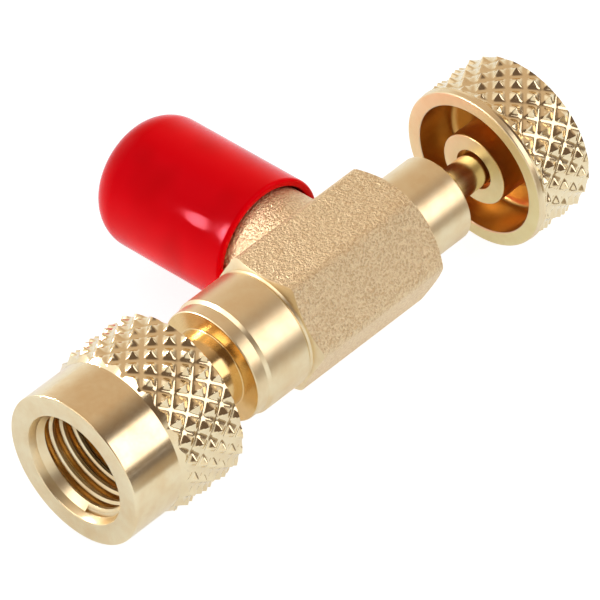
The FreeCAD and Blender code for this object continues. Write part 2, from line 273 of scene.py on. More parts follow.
soft_lamp("Right window", aim=MIDDLE, direction=(0.51, -0.73, 0.45), distance=WINDOW_DISTANCE,
          along=(1.0, 0.7, 0.0), width=0.56, height=0.46, power=1.7, colour=(1.0, 0.95, 0.94),
          lights_matt=True)
soft_lamp("Back window", aim=MIDDLE, direction=(-0.56, 0.12, 0.80), distance=WINDOW_DISTANCE,
          along=(0.0, 1.0, 0.0), width=0.48, height=0.17, power=0.9, colour=(1.0, 0.98, 0.97))
soft_lamp("First pane", aim=(0.02534, 0.01125, 0.00431), direction=(-0.713, 0.563, 0.419),
          distance=PANE_DISTANCE, along=ALONG_BRANCH, width=0.0021, height=0.013, power=0.0044,
          colour=PANE_COLOUR, shape="ELLIPSE")
soft_lamp("Second pane", aim=(0.02557, 0.0076, 0.00455), direction=(-0.668, 0.559, 0.491),
          distance=PANE_DISTANCE, along=ALONG_BRANCH, width=0.0010, height=0.034, power=0.0110,
          colour=PANE_COLOUR, shape="ELLIPSE")

# %% [markdown]
# ## Table and cloth
# The valve lies on a white table. To the camera the table glows just enough to stay white, and its matt
# part still takes the shadow. A brown cloth lies beside the valve at the front right. Only reflections
# show it: it makes the brown band under the bright one, and it gets darker away from the valve.

# %% Lay the table
FLOOR_HEIGHT = nut_low.z / MM
TABLE_REACH = 3.0
TABLE_SEEN = (0.35, 0.35, 0.35, 1.0)
TABLE_WHITE = (0.76, 0.80, 0.84, 1.0)
SEEN_GLOW = 0.87
MIRRORED_GLOW = 0.34
BOUNCED_GLOW = 0.90


def flat_sheet(name, corners, height):
    """A level sheet with those corners, in metres."""
    mesh = bpy.data.meshes.new(name)
    mesh.from_pydata([(x, y, height) for x, y in corners], [], [tuple(range(len(corners)))])
    sheet = bpy.data.objects.new(name, mesh)
    scene.collection.objects.link(sheet)
    return sheet


table_corners = [(x * TABLE_REACH, y * TABLE_REACH) for x, y in ((-1, -1), (1, -1), (1, 1), (-1, 1))]
table = flat_sheet("Table", table_corners, FLOOR_HEIGHT)
paint = bpy.data.materials.new("White table")
paint.use_nodes = True
tree = paint.node_tree
tree.nodes.clear()
path = tree.nodes.new("ShaderNodeLightPath")
matt = tree.nodes.new("ShaderNodeBsdfDiffuse")
put(tree, matt.inputs["Color"],
    blend_colours(tree, path.outputs["Is Camera Ray"], TABLE_WHITE, TABLE_SEEN))
shine = 0.0
for rays, strength in ((path.outputs["Is Camera Ray"], SEEN_GLOW), (mirrored_rays(tree, path), MIRRORED_GLOW),
                       (path.outputs["Is Diffuse Ray"], BOUNCED_GLOW)):
    shine = sums(tree, "ADD", shine, sums(tree, "MULTIPLY", rays, strength))
glow = tree.nodes.new("ShaderNodeEmission")
put(tree, glow.inputs["Strength"], shine)
both = tree.nodes.new("ShaderNodeAddShader")
put(tree, both.inputs[0], matt.outputs[0])
put(tree, both.inputs[1], glow.outputs[0])
output = tree.nodes.new("ShaderNodeOutputMaterial")
put(tree, output.inputs["Surface"], both.outputs[0])
table.data.materials.append(paint)
print("table at z in mm:", round(FLOOR_HEIGHT * MM, 3))

# %% Lay the brown cloth
CLOTH_CORNERS = [(0.25, -0.6), (0.6, -0.6), (0.6, -0.028), (0.010, -0.027)]
CLOTH_LIFT = 0.0002
CLOTH_NEAR = (0.46, 0.36, 0.24, 1.0)
CLOTH_FAR = (0.09, 0.05, 0.03, 1.0)
CLOTH_DARKENING = (-0.042, -0.085)


def new_finish(name):
    """A material made of nodes. Gives the material, its tree and its shader."""
    finish = bpy.data.materials.new(name)
    finish.use_nodes = True
    return finish, finish.node_tree, finish.node_tree.nodes["Principled BSDF"]


weave, tree, shader = new_finish("Brown cloth")
parts = split(tree, tree.nodes.new("ShaderNodeTexCoord").outputs["Object"])
put(tree, shader.inputs["Base Color"],
    blend_colours(tree, span(tree, parts["Y"], *CLOTH_DARKENING), CLOTH_NEAR, CLOTH_FAR))
shader.inputs["Roughness"].default_value = 1.0
cloth = flat_sheet("Dark cloth", CLOTH_CORNERS, FLOOR_HEIGHT + CLOTH_LIFT)
cloth.visible_camera = False
cloth.visible_diffuse = False
cloth.visible_shadow = False
cloth.visible_transmission = False
cloth.data.materials.append(weave)
print("cloth lies", round(CLOTH_LIFT * MM, 2), "mm above the table")

# %% [markdown]
# ## Turned pieces
# Nearly everything here comes off a lathe. A Screw modifier could turn a drawn outline, but a helper that
# builds the rings itself leaves no seam. It takes the corners of half a section, each with a station along
# the axis, a radius and the radius of its edge, because real edges catch a thin line of light. A section
# that starts and ends on the axis closes at two poles. One that stays clear of it closes like a ring.

# %% Helpers for turning
SIDES = 192
ARC_STEPS = 5
TINY = 1e-6


def softened(corners, closed, arc_steps):
    """The section's points, with each corner turned into an arc of its own radius."""
    points = []
    count = len(corners)
    for index, (station, radius, rounding) in enumerate(corners):
        here = Vector((station, radius))
        at_end = not closed and index in (0, count - 1)
        if rounding <= 0.0 or at_end:
            points.append(here)
            continue
        before = (Vector(corners[index - 1][:2]) - here).normalized()
        after = (Vector(corners[(index + 1) % count][:2]) - here).normalized()
        half = before.angle(after) / 2
        reach = rounding / math.tan(half)
        centre = here + (before + after).normalized() * rounding / math.sin(half)
        first = here + before * reach - centre
        last = here + after * reach - centre
        sweep = first.angle(last)
        for step in range(arc_steps + 1):
            share = step / arc_steps
            near = math.sin((1 - share) * sweep) / math.sin(sweep)
            far = math.sin(share * sweep) / math.sin(sweep)
            points.append(centre + first * near + last * far)
    return points


def keep(name, mesh_builder):
    """Makes an object of a bmesh, with its faces pointing outwards."""
    bmesh.ops.recalc_face_normals(mesh_builder, faces=mesh_builder.faces)
    mesh = bpy.data.meshes.new(name)
    mesh_builder.to_mesh(mesh)
    mesh_builder.free()
    piece = bpy.data.objects.new(name, mesh)
    scene.collection.objects.link(piece)
    return piece


def turned(name, corners, along="X", foot=0.0, sides=SIDES, arc_steps=ARC_STEPS):
    """A solid turned about the main axis, or about an axis along Y whose foot is on the main axis."""
    closed = corners[0][1] > TINY
    builder = bmesh.new()
    rings = []
    for station, radius in softened(corners, closed, arc_steps):
        if radius < TINY:
            place = (station, 0.0, 0.0) if along == "X" else (foot, station, 0.0)
            rings.append([builder.verts.new(place)])
            continue
        ring = []
        for side in range(sides):
            angle = 2 * math.pi * side / sides
            across, rise = radius * math.cos(angle), radius * math.sin(angle)
            place = (station, across, rise) if along == "X" else (foot + across, station, rise)
            ring.append(builder.verts.new(place))
        rings.append(ring)
    pairs = list(zip(rings, rings[1:]))
    if closed:
        pairs.append((rings[-1], rings[0]))
    for here, beyond in pairs:
        for side in range(sides):
            after = (side + 1) % sides
            if len(here) == 1:
                builder.faces.new((here[0], beyond[side], beyond[after]))
            elif len(beyond) == 1:
                builder.faces.new((here[side], here[after], beyond[0]))
            else:
                builder.faces.new((here[side], here[after], beyond[after], beyond[side]))
    return keep(name, builder)


# %% [markdown]
# ## Cutting and joining
# A Boolean modifier joins, cuts or trims one closed solid with another. Its result is made a plain mesh
# straight away, and the tool is taken out of the scene. A tool reaches a little past what it cuts, because
# faces that lie in one plane confuse a Boolean.

# %% Helpers for cutting and joining
BEYOND = 1.0


def settle(piece):
    """Makes what the modifiers show the piece's own plain mesh."""
    graph = bpy.context.evaluated_depsgraph_get()
    mesh = bpy.data.meshes.new_from_object(piece.evaluated_get(graph), depsgraph=graph)
    piece.modifiers.clear()
    piece.data = mesh
    mesh.name = piece.name


def combine(piece, tool, operation):
    """DIFFERENCE, UNION or INTERSECT of the piece with the tool."""
    modifier = piece.modifiers.new("Combine", "BOOLEAN")
    modifier.operation = operation
    modifier.solver = "MANIFOLD"
    modifier.object = tool
    settle(piece)
    bpy.data.objects.remove(tool)


# %% [markdown]
# ## Finishing a piece
# Every piece is finished in the same way: scaled to metres, shaded smooth between its sharp edges, and hung
# on the body it rides on, while the CAD node it replaces is hidden. Where a piece has several finishes, a
# rule gives each face the finish of the tool that made it, or a darker brass that paints shade into a recess.

# %% Helpers for finishing
SHARP_ANGLE = 40.0


def finished(piece, node, body):
    """Brings a piece to metres, shades it, and puts it in its place in the frame."""
    piece.data.transform(Matrix.Scale(1 / MM, 4))
    for face in piece.data.polygons:
        face.use_smooth = True
    piece.data.set_sharp_from_angle(angle=math.radians(SHARP_ANGLE))
    modifier = piece.modifiers.new("Even shading", "WEIGHTED_NORMAL")
    modifier.keep_sharp = True
    settle(piece)
    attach(piece, body)
    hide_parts(node)
    low = [round(min(v.co[i] for v in piece.data.vertices) * MM, 2) for i in range(3)]
    high = [round(max(v.co[i] for v in piece.data.vertices) * MM, 2) for i in range(3)]
    print(piece.name, "faces", len(piece.data.polygons), "from", low, "to", high)


def give_finishes(piece, finishes, rule=None):
    """Gives each face one of the finishes, as a rule says from its middle and its normal."""
    piece.data.materials.clear()
    for finish in finishes:
        piece.data.materials.append(finish)
    for face in piece.data.polygons:
        face.material_index = rule(face.center, face.normal) if rule else 0


# %% [markdown]
# ## Brass
# All the brass is one alloy, but each tool leaves its own surface. A turned face has fine rings and cloudy
# patches, a blasted one has a coarse sparkling grain, a rolled knurl and a thread are burnished bright.
# Each could be a material of its own, but one function makes them all from a few numbers, in millimetres,
# so that they stay one family. Two of them are a darker, deeper brass that paints shade into recesses: one
# in the knob's cup, one on the neck, the collar's front and the thread flanks turned from the nut's mouth.

# %% Patterns for the finishes
RING_WIDTH = 0.12
DULLING = 0.06


def millimetre_place(tree):
    """The point on the piece, in millimetres."""
    scale = tree.nodes.new("ShaderNodeVectorMath")
    scale.operation = "SCALE"
    scale.inputs["Scale"].default_value = MM
    put(tree, scale.inputs[0], tree.nodes.new("ShaderNodeTexCoord").outputs["Object"])
    return scale.outputs["Vector"]


def noise(tree, place, grain, detail=2.0, rough=0.5):
    """Noise from 0 to 1 whose patches are about as large as the grain, in millimetres."""
    node = tree.nodes.new("ShaderNodeTexNoise")
    put(tree, node.inputs["Vector"], place)
    node.inputs["Scale"].default_value = 1.0 / grain
    node.inputs["Detail"].default_value = detail
    node.inputs["Roughness"].default_value = rough
    return node.outputs["Fac"]


def ring_place(tree, place):
    """A point whose noise makes rings about the main axis: station and radius, and nothing else."""
    parts = split(tree, place)
    across = sums(tree, "MULTIPLY", parts["Y"], parts["Y"])
    rise = sums(tree, "MULTIPLY", parts["Z"], parts["Z"])
    return join(tree, parts["X"], sums(tree, "SQRT", sums(tree, "ADD", across, rise)))


def relief(tree, shader, height):
    """Shades a finish as if its surface had that height, in metres."""
    bump = tree.nodes.new("ShaderNodeBump")
    bump.inputs["Strength"].default_value = 1.0
    bump.inputs["Distance"].default_value = 1.0
    put(tree, bump.inputs["Height"], height)
    put(tree, shader.inputs["Normal"], bump.outputs["Normal"])


# %% Brass finishes
BRASS = (0.86, 0.73, 0.48, 1.0)
BRASS_DEEP = (0.78, 0.58, 0.32, 1.0)
# Darker brass: painted shade for the neck, the collar's front and the thread flanks turned from the nut's
# mouth.
RECESS_SHADE = (0.80, 0.58, 0.28, 1.0)
RECESS_SHADE_DEEP = (0.70, 0.46, 0.17, 1.0)
# Darker still: painted shade for the inside of the knob's cup and the ring hidden in the nut.
BORE_SHADE = (0.70, 0.44, 0.15, 1.0)
BORE_SHADE_DEEP = (0.56, 0.30, 0.07, 1.0)
DULL = (0.88, 0.80, 0.47, 1.0)
DULL_DEEP = (0.80, 0.68, 0.34, 1.0)
BLASTED = (0.91, 0.74, 0.48, 1.0)
BLASTED_DEEP = (0.68, 0.47, 0.25, 1.0)


def brass(name, roughness, cloud, cloud_size=2.0, cloud_edges=(0.35, 0.70), rings=0.0, grain=0.0,
          grain_size=0.5, light=BRASS, deep=BRASS_DEEP):
    """A brass finish, clouded from light to deep, with rings or a grain of that height."""
    finish, tree, shader = new_finish(name)
    shader.inputs["Metallic"].default_value = 1.0
    place = millimetre_place(tree)
    clouds = noise(tree, place, cloud_size, detail=3.0, rough=0.6)
    share = span(tree, clouds, cloud_edges[0], cloud_edges[1], 0.0, cloud)
    put(tree, shader.inputs["Base Color"], blend_colours(tree, share, light, deep))
    dulling = sums(tree, "MULTIPLY", sums(tree, "SUBTRACT", clouds, 0.5), DULLING)
    put(tree, shader.inputs["Roughness"], sums(tree, "ADD", dulling, roughness))
    if rings:
        marks = noise(tree, ring_place(tree, place), RING_WIDTH)
        relief(tree, shader, sums(tree, "MULTIPLY", marks, rings / MM))
    elif grain:
        marks = noise(tree, place, grain_size, rough=0.6)
        relief(tree, shader, sums(tree, "MULTIPLY", marks, grain / MM))
    return finish


front_brass = brass("Fine turned brass", 0.18, cloud=0.7, rings=0.0010)
satin_brass = brass("Satin turned brass", 0.34, cloud=0.6, rings=0.0020)
# Darker brass as painted shade in the knob's cup.
bore_shade_brass = brass("Bored brass with painted shade", 0.30, cloud=0.6, rings=0.0006, light=BORE_SHADE, deep=BORE_SHADE_DEEP)
dull_brass = brass("Dull turned brass", 0.48, cloud=0.5, rings=0.0020, light=DULL, deep=DULL_DEEP)
knurled_brass = brass("Rolled knurl brass", 0.15, cloud=0.4, grain=0.0012)
# Darker brass as painted shade on the neck between the nut and the collar, and deep in the nut's thread.
recess_shade_brass = brass("Smooth turned brass with painted shade", 0.17, cloud=0.6, rings=0.0006, light=RECESS_SHADE, deep=RECESS_SHADE_DEEP)
blasted_brass = brass("Blasted brass", 0.38, cloud=0.8, cloud_size=0.24, cloud_edges=(0.42, 0.62),
                      grain=0.26, grain_size=0.24, light=BLASTED, deep=BLASTED_DEEP)
print("brass finishes:", [finish.name for finish in bpy.data.materials if "brass" in finish.name])

# %% [markdown]
# ## Knurl as a rule
# A diamond knurl is two sets of crossed grooves that leave rows of pyramids. Its tips show in the outline,
# so bump can't stand in for it, and cutting each groove would be slow. Seen as a flat pattern, the grooves
# are the lines where row plus step, or row minus step, is an odd number. So a Geometry Nodes tree can make
# it from a plain cylinder: each point finds how far it is from the nearest groove of each set, and the
# deeper of the two cuts sets its radius. Near a groove's middle the cut is rounded.

# %% Helpers for geometry trees


def new_tree(name, inputs):
    """A geometry tree with named inputs. Gives the tree, its inputs and its output node."""
    tree = bpy.data.node_groups.new(name, "GeometryNodeTree")
    tree.interface.new_socket("Geometry", in_out="OUTPUT", socket_type="NodeSocketGeometry")
    for label, kind in inputs:
        tree.interface.new_socket(label, in_out="INPUT", socket_type=kind)
    return tree, tree.nodes.new("NodeGroupInput").outputs, tree.nodes.new("NodeGroupOutput")


def end_tree(tree, geometry, finish, output):
    """Ends a tree: the geometry becomes a real mesh, gets its finish and goes out."""
    real = tree.nodes.new("GeometryNodeRealizeInstances")
    put(tree, real.inputs[0], geometry)
    coated = tree.nodes.new("GeometryNodeSetMaterial")
    put(tree, coated.inputs["Geometry"], real.outputs[0])
    put(tree, coated.inputs["Material"], finish)
    put(tree, output.inputs[0], coated.outputs[0])


def grown(name, tree, sizes):
    """Runs a geometry tree with those sizes and gives its result as a plain mesh object."""
    piece = bpy.data.objects.new(name, bpy.data.meshes.new(name))
    scene.collection.objects.link(piece)
    modifier = piece.modifiers.new("Rule", "NODES")
    modifier.node_group = tree
    for item in tree.interface.items_tree:
        if item.in_out == "INPUT":
            modifier[item.identifier] = sizes[item.name]
    settle(piece)
    builder = bmesh.new()
    builder.from_mesh(piece.data)
    bmesh.ops.remove_doubles(builder, verts=builder.verts, dist=TINY)
    bmesh.ops.recalc_face_normals(builder, faces=builder.faces)
    builder.to_mesh(piece.data)
    builder.free()
    return piece


# %% The knurl's node tree
KNURL_FINENESS = 10


def groove_cut(tree, count, given):
    """Depth of one set of grooves where a point counts so many rows and steps from a pyramid's tip."""
    into_pair = sums(tree, "FLOORED_MODULO", sums(tree, "ADD", count, 1.0), 2.0)
    away = sums(tree, "ABSOLUTE", sums(tree, "SUBTRACT", into_pair, 1.0))
    away = sums(tree, "SUBTRACT", 1.0, away)
    within = sums(tree, "MAXIMUM", sums(tree, "SUBTRACT", given["Floor Share"], away), 0.0)
    rounding = sums(tree, "DIVIDE", sums(tree, "MULTIPLY", within, within), given["Floor Share"])
    left = sums(tree, "SUBTRACT", sums(tree, "SUBTRACT", 1.0, away), sums(tree, "MULTIPLY", rounding, 0.5))
    return sums(tree, "MULTIPLY", left, given["Sharp Depth"])


def make_knurl_tree():
    """Skin of pyramids about the main axis, closed at both ends."""
    number, whole = "NodeSocketFloat", "NodeSocketInt"
    tree, given, output = new_tree("Diamond knurl", [
        ("Pyramids Round", whole), ("Rows", whole), ("First Row", number), ("Row Step", number),
        ("Lead", number), ("Cut Start", number), ("Cut Full", number), ("Tip Radius", number),
        ("Sharp Depth", number), ("Floor Share", number), ("Ridge Softness", number),
        ("Finish", "NodeSocketMaterial"),
    ])
    blank = tree.nodes.new("GeometryNodeMeshCylinder")
    put(tree, blank.inputs["Vertices"], sums(tree, "MULTIPLY", given["Pyramids Round"], 2.0 * KNURL_FINENESS))
    put(tree, blank.inputs["Side Segments"], sums(tree, "MULTIPLY", given["Rows"], 1.0 * KNURL_FINENESS))
    put(tree, blank.inputs["Depth"], given["Rows"])
    blank.inputs["Radius"].default_value = 1.0
    parts = split(tree, tree.nodes.new("GeometryNodeInputPosition").outputs[0])
    row = sums(tree, "ADD", parts["Z"], sums(tree, "DIVIDE", given["Rows"], 2.0))
    turns = sums(tree, "DIVIDE", sums(tree, "ARCTAN2", parts["Y"], parts["X"]), math.pi)
    step = sums(tree, "MULTIPLY", turns, given["Pyramids Round"])
    rising = groove_cut(tree, sums(tree, "ADD", row, step), given)
    falling = groove_cut(tree, sums(tree, "SUBTRACT", row, step), given)
    cut = sums(tree, "SMOOTH_MAX", rising, falling, given["Ridge Softness"])
    station = sums(tree, "ADD", given["First Row"], sums(tree, "MULTIPLY", row, given["Row Step"]))
    cut = sums(tree, "MULTIPLY", cut, span(tree, station, given["Cut Start"], given["Cut Full"]))
    radius = sums(tree, "SUBTRACT", given["Tip Radius"], cut)
    is_first = sums(tree, "LESS_THAN", row, 0.5 / KNURL_FINENESS)
    station = sums(tree, "SUBTRACT", station, sums(tree, "MULTIPLY", is_first, given["Lead"]))
    moved = join(tree, station, sums(tree, "MULTIPLY", parts["X"], radius),
                 sums(tree, "MULTIPLY", parts["Y"], radius))
    shaped = tree.nodes.new("GeometryNodeSetPosition")
    put(tree, shaped.inputs["Geometry"], blank.outputs["Mesh"])
    put(tree, shaped.inputs["Position"], moved)
    end_tree(tree, shaped.outputs[0], given["Finish"], output)
    return tree


knurl_tree = make_knurl_tree()
print("knurl tree nodes:", len(knurl_tree.nodes))

# %% [markdown]
# ## Thread as a rule
# A screw thread is one shape carried along a helix. A Screw modifier could wind it, but as a node tree its
# sizes have names, and the nut and the branch can share it. The tree sweeps the section of the groove
# along a spiral curve, with a trapezoid that is wide at its mouth and narrow at its root. The swept solid
# is the tool that cuts the thread, inside the nut or outside on the branch.

# %% The thread's node tree
THREAD_PITCH = 1.27
THREAD_STEPS = 96


def make_thread_tree():
    """The groove of a screw thread, as a closed solid along the main axis."""
    number = "NodeSocketFloat"
    tree, given, output = new_tree("Screw thread", [
        ("Pitch", number), ("Turns", number), ("Start", number), ("Mouth Radius", number),
        ("Mouth Width", number), ("Root Radius", number), ("Root Width", number),
        ("Finish", "NodeSocketMaterial"),
    ])
    helix = tree.nodes.new("GeometryNodeCurveSpiral")
    helix.inputs["Resolution"].default_value = THREAD_STEPS
    put(tree, helix.inputs["Rotations"], given["Turns"])
    put(tree, helix.inputs["Start Radius"], given["Root Radius"])
    put(tree, helix.inputs["End Radius"], given["Root Radius"])
    put(tree, helix.inputs["Height"], sums(tree, "MULTIPLY", given["Pitch"], given["Turns"]))
    upright = tree.nodes.new("GeometryNodeSetCurveNormal")
    upright.mode = "Z_UP"
    put(tree, upright.inputs["Curve"], helix.outputs[0])
    section = tree.nodes.new("GeometryNodeCurvePrimitiveQuadrilateral")
    section.mode = "POINTS"
    mouth = sums(tree, "SUBTRACT", given["Root Radius"], given["Mouth Radius"])
    corners = ((mouth, "Mouth Width", 0.5), (0.0, "Root Width", 0.5),
               (0.0, "Root Width", -0.5), (mouth, "Mouth Width", -0.5))
    for index, (inward, width, side) in enumerate(corners):
        corner = join(tree, inward, sums(tree, "MULTIPLY", given[width], side))
        put(tree, section.inputs["Point " + str(index + 1)], corner)
    swept = tree.nodes.new("GeometryNodeCurveToMesh")
    put(tree, swept.inputs["Curve"], upright.outputs[0])
    put(tree, swept.inputs["Profile Curve"], section.outputs[0])
    swept.inputs["Fill Caps"].default_value = True
    laid = tree.nodes.new("GeometryNodeTransform")
    put(tree, laid.inputs["Geometry"], swept.outputs[0])
    laid.inputs["Rotation"].default_value = (0.0, math.pi / 2, 0.0)
    put(tree, laid.inputs["Translation"], join(tree, given["Start"]))
    end_tree(tree, laid.outputs[0], given["Finish"], output)
    return tree


thread_tree = make_thread_tree()
print("thread tree nodes:", len(thread_tree.nodes))


def thread_groove(name, turns, start, mouth, root, finish):
    """The tool for one thread. Its mouth and its root are each a radius and a width."""
    return grown(name, thread_tree, {
        "Pitch": THREAD_PITCH, "Turns": turns, "Start": start, "Mouth Radius": mouth[0],
        "Mouth Width": mouth[1], "Root Radius": root[0], "Root Width": root[1], "Finish": finish,
    })


# %% [markdown]
# ## Swivel nut
# The nut is turned from bar, knurled over its rear half and threaded inside. Its blank is one ring-shaped
# section, with a wider entry in front of the thread. The knurl could be laid over the blank as a second
# skin. Instead its skin trims the blank, which leaves the zigzag edge at the bevelled shoulder and keeps
# the nut one solid.

# %% Turn the nut's blank
NUT_TIP_RADIUS = 8.497
NUT_FRONT_RADIUS = 7.72
NUT_FRONT_LENGTH = 5.635
NUT_BEVEL = 0.62
NUT_BEVEL_RADIUS = 8.15
NUT_REAR_CHAMFER = 0.45
NUT_ENTRY_RADIUS = 5.625
NUT_ENTRY_DEPTH = 0.8
NUT_ENTRY_TAPER = 0.25
NUT_ENTRY_CHAMFER = 0.725
NUT_REAR_BORE = 4.5
NUT_THREAD_END = 5.75
THREAD_MINOR_RADIUS = 4.9
BLANK_SPARE = 0.1

front_end = nut_low.x + NUT_FRONT_LENGTH
bevel_end = front_end + NUT_BEVEL
entry_end = nut_low.x + NUT_ENTRY_DEPTH
blank_radius = NUT_TIP_RADIUS + BLANK_SPARE
nut = turned("Swivel_nut", [
    (nut_low.x, NUT_ENTRY_RADIUS, 0.16),
    (nut_low.x, NUT_FRONT_RADIUS, 0.14),
    (front_end, NUT_FRONT_RADIUS, 0.05),
    (bevel_end, NUT_BEVEL_RADIUS, 0.03),
    (bevel_end, blank_radius, 0.0),
    (nut_high.x - NUT_REAR_CHAMFER, blank_radius, 0.0),
    (nut_high.x, NUT_TIP_RADIUS - NUT_REAR_CHAMFER, 0.05),
    (nut_high.x, NUT_REAR_BORE, 0.12),
    (NUT_THREAD_END + THREAD_MINOR_RADIUS - NUT_REAR_BORE, NUT_REAR_BORE, 0.0),
    (NUT_THREAD_END, THREAD_MINOR_RADIUS, 0.0),
    (entry_end + NUT_ENTRY_CHAMFER, THREAD_MINOR_RADIUS, 0.06),
    (entry_end, NUT_ENTRY_RADIUS - NUT_ENTRY_TAPER, 0.05),
])
print("blank points:", len(nut.data.vertices))

# %% Knurl the nut
KNURL_COUNT = 24
KNURL_ROW_STEP = 1.18
KNURL_SHARP_DEPTH = 0.74
KNURL_FLOOR_SHARE = 0.55
KNURL_RIDGE_SOFTNESS = 0.14
NUT_KNURL_LEAD = 0.925
NUT_KNURL_TURN = -6.06


def knurl_skin(name, first_row, lead, cut_start, cut_full, end, tip_radius, first_turn):
    """Skin of pyramids from the first row to past the end, turned by an angle in degrees."""
    rows = math.ceil((end - first_row) / KNURL_ROW_STEP + 0.1)
    skin = grown(name, knurl_tree, {
        "Pyramids Round": KNURL_COUNT, "Rows": rows, "First Row": first_row, "Row Step": KNURL_ROW_STEP,
        "Lead": lead, "Cut Start": cut_start, "Cut Full": cut_full, "Tip Radius": tip_radius,
        "Sharp Depth": KNURL_SHARP_DEPTH, "Floor Share": KNURL_FLOOR_SHARE,
        "Ridge Softness": KNURL_RIDGE_SOFTNESS, "Finish": knurled_brass,
    })
    skin.data.transform(Matrix.Rotation(math.radians(first_turn), 4, "X"))
    return skin


knurl_start = front_end - NUT_KNURL_LEAD
skin = knurl_skin("Nut_knurl", first_row=knurl_start, lead=knurl_start - nut_low.x + BEYOND,
                  cut_start=knurl_start, cut_full=front_end, end=nut_high.x, tip_radius=NUT_TIP_RADIUS,
                  first_turn=NUT_KNURL_TURN)
combine(nut, skin, "INTERSECT")
print("knurled points:", len(nut.data.vertices))

# %% [markdown]
# The nut's thread is cut twice with the same helix. The deep groove is the thread itself. A wider, shallow
# one breaks the edges of its crests, which then catch light as thin bright lines.

# %% Thread the nut
NUT_THREAD_TURNS = 5.9
NUT_THREAD_START = -1.45
NUT_THREAD_MOUTH = 4.72
NUT_THREAD_WIDTH = 0.88
THREAD_ROOT_RADIUS = 5.57
THREAD_ROOT_WIDTH = 0.18
CREST_CHAMFER = 0.25
CREST_MOUTH_WIDTH = 1.24
CREST_FLOOR_WIDTH = 0.60

for name, width, root in (
        ("Nut_thread", NUT_THREAD_WIDTH, (THREAD_ROOT_RADIUS, THREAD_ROOT_WIDTH)),
        ("Nut_crest_edges", CREST_MOUTH_WIDTH, (THREAD_MINOR_RADIUS + CREST_CHAMFER, CREST_FLOOR_WIDTH))):
    groove = thread_groove(name, NUT_THREAD_TURNS, NUT_THREAD_START, (NUT_THREAD_MOUTH, width), root,
                           bore_shade_brass)
    combine(nut, groove, "DIFFERENCE")
print("threaded points:", len(nut.data.vertices))

# %% Finish the nut
KNURL_FLOOR = 7.80
EDGE = 0.05
THIN_EDGE = 0.02
CREST_EDGE = 0.03
STRAIGHT_BACK = 0.98
TO_THE_FRONT = -0.5


def nut_rule(middle, normal):
    """Thread groove faces turned from the mouth in darker brass as painted shade, those facing it fine
    turned, satin entry and crests, knurl behind the shoulder, fine turning elsewhere.
    """
    out = math.hypot(middle.y, middle.z)
    in_bore = out < NUT_ENTRY_RADIUS - THIN_EDGE
    if in_bore and nut_low.x + EDGE < middle.x < entry_end + NUT_ENTRY_CHAMFER:
        return 2
    if in_bore and out > THREAD_MINOR_RADIUS + CREST_EDGE:
        # Groove faces that turn away from the mouth get the darker brass, which is painted shade.
        return 0 if normal.x < TO_THE_FRONT else 3
    if out < THREAD_MINOR_RADIUS + CREST_EDGE:
        return 2
    if out > KNURL_FLOOR and middle.x > front_end + THIN_EDGE and normal.x < STRAIGHT_BACK:
        return 1
    return 0


give_finishes(nut, [front_brass, knurled_brass, satin_brass, recess_shade_brass], nut_rule)
finished(nut, "swivel_nut", "nut")

# %% [markdown]
# ## Valve body
# The body is one forging whose ends are turned: the spigot head and the neck that carry the nut, the collar
# in two steps, and the tail. The hexagon and the side branch stay as forged and are sand-blasted. Each form
# is made as its own closed solid, and all are joined into one, as the real piece is. The hexagon is a bar
# with soft long edges, whose ends a turned solid trims to a chamfer.

# %% Make the hexagon
HEX_CORNERS = 6
HEX_ACROSS_FLATS = 12.2
HEX_EDGE_RADIUS = 0.9
HEX_START = 21.975
HEX_END = 38.575
HEX_FRONT_CHAMFER = 0.55
HEX_BACK_CHAMFER = 0.65
HEX_BACK_RADIUS = 6.05
COLLAR_RADIUS = 5.96
corner_radius = HEX_ACROSS_FLATS / 2 / math.cos(math.pi / 6)


def hexagon_bar(start, end):
    """Hexagonal bar along the main axis with two flats level and rounded long edges."""
    corners = []
    for corner in range(HEX_CORNERS):
        angle = math.pi / 3 * corner
        corners.append((corner_radius * math.cos(angle), corner_radius * math.sin(angle), HEX_EDGE_RADIUS))
    outline = softened(corners, True, ARC_STEPS)
    builder = bmesh.new()
    near = [builder.verts.new((start, y, z)) for y, z in outline]
    far = [builder.verts.new((end, y, z)) for y, z in outline]
    builder.faces.new(near)
    builder.faces.new(far)
    for index in range(len(outline)):
        after = (index + 1) % len(outline)
        builder.faces.new((near[index], near[after], far[after], far[index]))
    return keep("Hexagon", builder)


hexagon = hexagon_bar(HEX_START - BEYOND, HEX_END + BEYOND)
ends = turned("Hexagon_ends", [
    (HEX_START, 0.0, 0.0),
    (HEX_START, COLLAR_RADIUS, 0.0),
    (HEX_START + HEX_FRONT_CHAMFER, corner_radius, 0.0),
    (HEX_END - HEX_BACK_CHAMFER, corner_radius, 0.0),
    (HEX_END, HEX_BACK_RADIUS, 0.0),
    (HEX_END, 0.0, 0.0),
])
combine(hexagon, ends, "INTERSECT")
print("hexagon points:", len(hexagon.data.vertices))

# %% Turn the ends of the body
HEAD_RADIUS = 4.4
HEAD_END = 7.995
WAIST_RADIUS = 3.5
WAIST_END = 9.895
NECK_START = 10.305
NECK_RADIUS = 3.91
COLLAR_START = 15.145
COLLAR_STEP = 16.475
COLLAR_STEP_TAPER = 0.35
COLLAR_RING_RADIUS = 5.72
RELIEF_LENGTH = 0.45
RELIEF_BOTTOM = 0.22
RELIEF_DEPTH = 0.17
TAIL_RADIUS = 4.36
OVERLAP = 0.02

